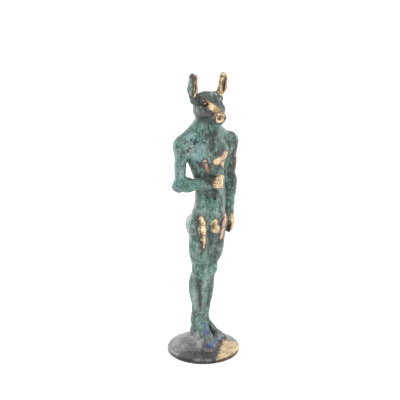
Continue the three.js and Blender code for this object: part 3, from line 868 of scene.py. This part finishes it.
class Shader:
    """Short ways to add and join the nodes of one material."""

    def __init__(self, name):
        self.material = bpy.data.materials.new(name)
        self.material.use_nodes = True
        self.tree = self.material.node_tree
        self.surface = self.tree.nodes["Principled BSDF"]

    def add(self, kind, inputs, output=0, **settings):
        node = self.tree.nodes.new(kind)
        for key, value in settings.items():
            setattr(node, key, value)
        for key, value in inputs.items():
            self.set(node.inputs[key], value)
        return node.outputs[output]

    def set(self, socket, value):
        if isinstance(value, bpy.types.NodeSocket):
            self.tree.links.new(value, socket)
        else:
            socket.default_value = value

    def value_of(self, name):
        return self.add("ShaderNodeAttribute", {}, "Fac", attribute_name=name)

    def math(self, operation, a, b):
        return self.add("ShaderNodeMath", {0: a, 1: b}, operation=operation)

    def total(self, first, *others):
        for other in others:
            first = self.math("ADD", first, other)
        return first

    def less(self, value, other):
        return self.math("SUBTRACT", value, other)

    def times(self, value, factor):
        return self.math("MULTIPLY", value, factor)

    def swing(self, noise, width):
        """A noise that swings about nought, by half the width either way."""
        return self.times(self.less(noise, 0.5), width)

    def step(self, value, low, high, start=0.0, end=1.0):
        inputs = {"Value": value, "From Min": low, "From Max": high, "To Min": start, "To Max": end}
        return self.add("ShaderNodeMapRange", inputs, interpolation_type="SMOOTHSTEP")

    def noise(self, position, size, detail, roughness):
        inputs = {"Vector": position, "Scale": 1 / (size * MM), "Detail": detail, "Roughness": roughness}
        return self.add("ShaderNodeTexNoise", inputs, "Fac")

    def mix(self, share, a, b):
        node = self.tree.nodes.new("ShaderNodeMix")
        node.data_type = "RGBA"
        for socket, value in ((node.inputs[0], share), (node.inputs[6], a), (node.inputs[7], b)):
            self.set(socket, value)
        return node.outputs[2]

    def blend(self, share, a, b):
        return self.add("ShaderNodeMix", {0: share, 2: a, 3: b})


class Patina(Shader):
    """The bronze's skin: its grain, the zones that the grain frays, and the colours in them."""

    def __init__(self, name):
        super().__init__(name)
        position = self.add("ShaderNodeTexCoord", {}, "Object")
        streaked = self.add("ShaderNodeVectorMath", {0: position, 1: STREAK}, operation="MULTIPLY")
        self.height = self.add("ShaderNodeSeparateXYZ", {0: position}, "Z")
        self.broad = self.noise(position, *BROAD)
        self.cloud = self.noise(streaked, *CLOUD)
        self.mottle = self.noise(streaked, *MOTTLE)
        self.flake = self.noise(streaked, *FLAKE)
        self.speck = self.noise(position, *SPECK)
        self.grain = self.noise(position, *GRAIN)
        self.hollow = self.value_of("hollow")
        self.mark_zones()
        self.mark_metal()
        self.tone = self.grain_tone()

    def zone(self, name):
        outer, inner, mottle_swing, flake_swing = ZONES[name]
        fray = self.total(self.swing(self.mottle, mottle_swing), self.swing(self.flake, flake_swing))
        return self.step(self.total(self.value_of(name), fray), outer, inner)

    def below(self, upper, lower, mottle_swing):
        level = self.total(self.height, self.swing(self.mottle, mottle_swing * MM))
        return self.step(level, upper * MM, lower * MM)

    def mark_zones(self):
        # The pale zone is painted highlight
        self.pale = self.zone("pale")
        self.bluish = self.zone("bluish")
        self.brown = self.zone("brown")
        self.dark = self.times(self.zone("dark"), self.less(1.0, self.pale))
        self.darkness = self.math("MAXIMUM", self.dark, self.brown)
        self.stone = self.below(*STONE_LEVELS)

    def mark_metal(self):
        ragged = self.swing(self.speck, METAL_SPECK_SWING)
        ragged = self.total(ragged, self.swing(self.mottle, METAL_MOTTLE_SWING))
        gold = self.total(self.value_of("gold"), ragged)
        copper = self.total(self.value_of("copper"), ragged)
        nearest = self.math("MINIMUM", gold, copper)
        self.border = self.step(nearest, *METAL_BORDER)
        self.bare = self.step(nearest, *METAL_EDGE)
        self.coppery = self.step(self.less(gold, copper), *COPPER_EDGE)

    def grain_tone(self):
        """How light the grain makes a spot: about a half, and darker in the dark zones."""
        grains = (self.cloud, self.mottle, self.flake, self.speck)
        tone = self.total(*[self.times(grain, share) for grain, share in zip(grains, TONE_SHARES)])
        return self.less(tone, self.times(self.darkness, 0.03))

    def soot_and_shade_black(self, low, high):
        return self.mix(self.step(self.mottle, low, high), SOOT_AND_SHADE, UMBER)

    def middle_colour(self):
        colour = self.mix(self.step(self.broad, *EMERALD_PATCHES, 0.0, 0.75), SEA_GREEN, EMERALD)
        colour = self.mix(self.times(self.bluish, 0.8), colour, POWDER_BLUE)
        # The dark zone, slate and on the plinth dark stone: partly dark patina, partly painted shade
        colour = self.mix(self.times(self.dark, 0.75), colour, SLATE)
        colour = self.mix(self.times(self.stone, 0.95), colour, self.mix(self.dark, STONE, DARK_STONE))
        colour = self.mix(self.times(self.brown, 0.85), colour, PLUM)
        # Painted highlights, pale green, and pale grey on the plinth
        return self.mix(self.times(self.pale, 0.8), colour, self.mix(self.stone, PALE_GREEN, PALE_STONE))

    def low_colour(self):
        colour = self.mix(self.step(self.broad, *SOOTY_PATCHES), DEEP_GREEN, SOOT_AND_SHADE)
        colour = self.mix(self.brown, colour, UMBER)
        return self.mix(self.stone, colour, DARK_STONE)

    def high_colour(self, middle):
        colour = self.mix(self.times(self.bluish, 0.6), PALE_GREEN, POWDER_BLUE)
        muted = self.math("MAXIMUM", self.times(self.dark, 0.4), self.brown)
        colour = self.mix(muted, colour, middle)
        return self.mix(self.stone, colour, PALE_STONE)

    def patina(self):
        """The corroded skin: low, middling and high grain, then dark flecks and light glints."""
        middle = self.middle_colour()
        high = self.high_colour(middle)
        colour = self.mix(self.step(self.tone, *MIDDLE_TONES), self.low_colour(), middle)
        colour = self.mix(self.step(self.tone, *HIGH_TONES, 0.0, 0.8), colour, high)
        fleck = self.total(self.flake, self.swing(self.mottle, 0.35), self.swing(self.broad, 0.5))
        fleck = self.less(fleck, self.times(self.darkness, 0.05))
        colour = self.mix(self.step(fleck, *FLECKS, 0.0, 0.8), colour, self.soot_and_shade_black(*FLECK_SOOT))
        glint = self.less(self.flake, self.swing(self.mottle, 0.5))
        return self.mix(self.step(glint, *GLINTS, 0.0, 0.5), colour, high)

    def stained(self, colour):
        """Painted shade in its places, soot in the hollows, and the blue crust by the feet."""
        # Painted shade, near-black mottled with umber
        colour = self.mix(self.times(self.zone("painted_shade"), 0.85), colour, self.soot_and_shade_black(*PAINTED_SHADE_MOTTLE))
        grime = self.total(self.hollow, self.step(self.mottle, *GRIMY_MOTTLE, 0.0, 0.35))
        colour = self.mix(self.step(grime, *GRIMY_HOLLOWS, 0.0, 0.9), colour, SOOT_AND_SHADE)
        blue = self.mix(self.step(self.tone, *BLUE_TONES), COBALT, STEEL_BLUE)
        return self.mix(self.times(self.zone("blue"), 0.85), colour, blue)

    def worn_metal(self):
        brightest = self.blend(self.stone, 1.0, 0.72)
        gold = self.mix(self.step(self.tone, *GOLD_TONES, 0.0, brightest), GOLD, BRIGHT_GOLD)
        copper = self.mix(self.step(self.tone, *COPPER_TONES), COPPER, BRIGHT_COPPER)
        metal = self.mix(self.coppery, gold, copper)
        metal = self.mix(self.times(self.brown, self.step(self.speck, *BROWN_SPECKS)), metal, UMBER)
        metal = self.mix(self.step(self.speck, *METAL_SPECKS, 0.0, 0.9), metal, UMBER)
        return self.mix(self.step(self.hollow, *METAL_HOLLOWS, 0.0, 0.85), metal, UMBER)

    def colour(self):
        colour = self.stained(self.patina())
        colour = self.mix(self.times(self.border, 0.85), colour, UMBER)
        colour = self.mix(self.bare, colour, self.worn_metal())
        return self.mix(self.times(self.below(*RIM_LEVELS), 0.85), colour, SOOT_AND_SHADE)

    def roughness(self):
        green = self.step(self.mottle, 0.35, 0.65, *GREEN_ROUGHNESS)
        skin = self.blend(self.darkness, green, self.step(self.speck, 0.3, 0.7, *DARK_ROUGHNESS))
        skin = self.blend(self.stone, skin, STONE_ROUGHNESS)
        polished = self.step(self.tone, *GOLD_TONES, *METAL_ROUGHNESS)
        return self.blend(self.bare, skin, polished)

    def metalness(self):
        skin = self.blend(self.darkness, GREEN_METAL, DARK_METAL)
        skin = self.blend(self.stone, skin, STONE_METAL)
        return self.blend(self.bare, skin, 1.0)

    def bump(self):
        grains = (self.mottle, self.flake, self.speck, self.grain)
        bumps = self.total(*[self.times(grain, share) for grain, share in zip(grains, BUMP_SHARES)])
        bumps = self.times(bumps, self.blend(self.bare, 1.0, 0.7))
        bumps = self.less(bumps, self.times(self.bare, 0.12))
        inputs = {"Strength": BUMP_STRENGTH, "Distance": BUMP_DEPTH * MM, "Height": bumps}
        return self.add("ShaderNodeBump", inputs)


def patinated_bronze():
    patina = Patina("patinated_bronze")
    inputs = patina.surface.inputs
    patina.set(inputs["Base Color"], patina.colour())
    patina.set(inputs["Metallic"], patina.metalness())
    patina.set(inputs["Roughness"], patina.roughness())
    patina.set(inputs["Normal"], patina.bump())
    patina.set(inputs["Coat Weight"], WAX)
    patina.set(inputs["Coat Roughness"], WAX_ROUGHNESS)
    return patina.material


# The photograph's surroundings: a pale floor, soft light and the camera


def pale_floor():
    size = FLOOR_HALF_SIZE
    corners = [(-size, -size, 0), (size, -size, 0), (size, size, 0), (-size, size, 0)]
    mesh = bpy.data.meshes.new("floor")
    mesh.from_pydata(corners, [], [(0, 1, 2, 3)])
    floor = bpy.data.objects.new("floor", mesh)
    floor.location.z = -FLOOR_DROP
    scene.collection.objects.link(floor)
    white = Shader("pale_floor")
    white.set(white.surface.inputs["Base Color"], FLOOR_COLOUR)
    white.set(white.surface.inputs["Roughness"], FLOOR_ROUGHNESS)
    white.set(white.surface.inputs["Emission Color"], WHITE)
    white.set(white.surface.inputs["Emission Strength"], FLOOR_GLOW)
    mesh.materials.append(white.material)


def soft_light(name, azimuth, elevation, distance, size, power):
    light = bpy.data.lights.new(name, "AREA")
    light.shape = "RECTANGLE"
    light.size, light.size_y = size
    light.energy = power
    lamp = bpy.data.objects.new(name, light)
    turn, rise = math.radians(CAMERA_AZIMUTH + azimuth), math.radians(elevation)
    flat = distance * math.cos(rise)
    height = distance * math.sin(rise) + LIGHT_BASE
    lamp.location = (flat * math.sin(turn), -flat * math.cos(turn), height)
    scene.collection.objects.link(lamp)
    lamp.rotation_euler = (MIDDLE - lamp.location).to_track_quat("-Z", "Y").to_euler()


def overhead_light():
    light = bpy.data.lights.new("overhead", "SUN")
    light.energy = OVERHEAD_STRENGTH
    light.angle = math.radians(OVERHEAD_SPREAD)
    lamp = bpy.data.objects.new("overhead", light)
    lamp.rotation_euler = (math.radians(OVERHEAD_LEAN), 0, math.radians(CAMERA_AZIMUTH + OVERHEAD_TURN))
    scene.collection.objects.link(lamp)


def white_room():
    """A white room that lights from behind the statuette, and looks evenly white itself."""
    world = bpy.data.worlds.new("white_room")
    world.use_nodes = True
    nodes, links = world.node_tree.nodes, world.node_tree.links
    turn = math.radians(CAMERA_AZIMUTH)
    along = nodes.new("ShaderNodeVectorMath")
    along.operation = "DOT_PRODUCT"
    along.inputs[1].default_value = (-math.sin(turn), math.cos(turn), 0)
    links.new(nodes.new("ShaderNodeTexCoord").outputs["Generated"], along.inputs[0])
    light = nodes.new("ShaderNodeMapRange")
    light.interpolation_type = "SMOOTHSTEP"
    limits = {"From Min": ROOM_TURN[0], "From Max": ROOM_TURN[1], "To Min": ROOM_DIM, "To Max": ROOM_BRIGHT}
    for name, value in limits.items():
        light.inputs[name].default_value = value
    links.new(along.outputs["Value"], light.inputs["Value"])
    seen = nodes.new("ShaderNodeMix")
    seen.inputs["B"].default_value = ROOM_BRIGHT
    links.new(nodes.new("ShaderNodeLightPath").outputs["Is Camera Ray"], seen.inputs["Factor"])
    links.new(light.outputs["Result"], seen.inputs["A"])
    background = nodes["Background"]
    background.inputs["Color"].default_value = WHITE
    links.new(seen.outputs["Result"], background.inputs["Strength"])
    scene.world = world


def camera_as_photographed():
    camera = bpy.data.objects.new("camera", bpy.data.cameras.new("camera"))
    turn = math.radians(CAMERA_AZIMUTH)
    camera.location = (CAMERA_REACH * math.sin(turn), -CAMERA_REACH * math.cos(turn), CAMERA_HEIGHT)
    camera.rotation_euler = (math.radians(90 - CAMERA_PITCH), 0, turn)
    camera.data.sensor_width = SENSOR_WIDTH
    camera.data.lens = SENSOR_WIDTH * FOCAL_PIXELS / PHOTO_SIDE
    camera.data.shift_x = -AXIS_OFFSET_PIXELS / PHOTO_SIDE
    camera.data.clip_start = CLIP_START
    scene.collection.objects.link(camera)
    scene.camera = camera


scene = bpy.context.scene
scene.view_settings.view_transform = "Standard"
low_corner, high_corner = cad_box
MIDDLE = (low_corner + high_corner) / 2

camera_as_photographed()
white_room()
overhead_light()
for settings in LIGHT_BOXES:
    soft_light(*settings)
pale_floor()

skin = bpy.data.objects.new("minotaur_skin", statuette_mesh())
scene.collection.objects.link(skin)
skin.data.materials.append(patinated_bronze())
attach(skin, "root")
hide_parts(NODE)

bpy.context.view_layer.update()
